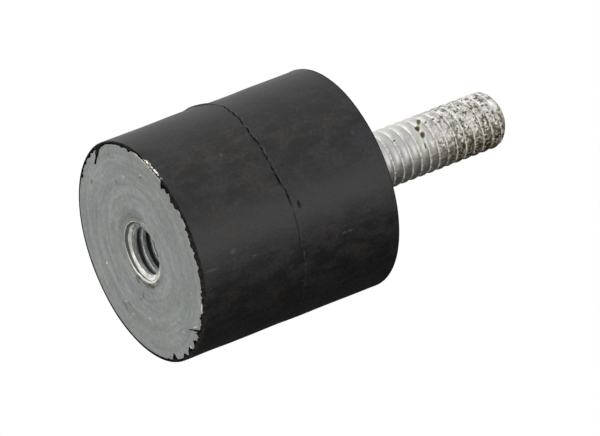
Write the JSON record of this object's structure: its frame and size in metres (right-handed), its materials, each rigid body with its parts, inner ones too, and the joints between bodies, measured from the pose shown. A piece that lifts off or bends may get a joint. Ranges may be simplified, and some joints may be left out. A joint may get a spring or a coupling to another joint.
{
  "type": "bobbin vibration mount",
  "caption": "Round rubber bobbin mount with a threaded hole in one steel end plate and a threaded stud standing from the other, for isolating vibration.",
  "frame": {"origin": "middle of the threaded end's face, which the mount stands on", "axes": "+Z along the mount's axis from the threaded end towards the stud; X and Y are any two directions square to it"},
  "size_m": [0.0304, 0.0304, 0.0554],
  "materials": {
    "rubber": "matt, dusty, with a rough moulding line",
    "plate_steel": "turned and dull, with a faint blotchy tarnish",
    "bush_steel": "bright cut thread",
    "zinc_plated_steel": "bright zinc plating, speckled with brown pits towards the tip"
  },
  "bodies": {
    "root": {"rubber_body": "rubber", "threaded_end_plate": "plate_steel", "threaded_bush": "bush_steel", "stud_end_plate": "plate_steel", "threaded_stud": "zinc_plated_steel"}
  },
  "joints": []
}
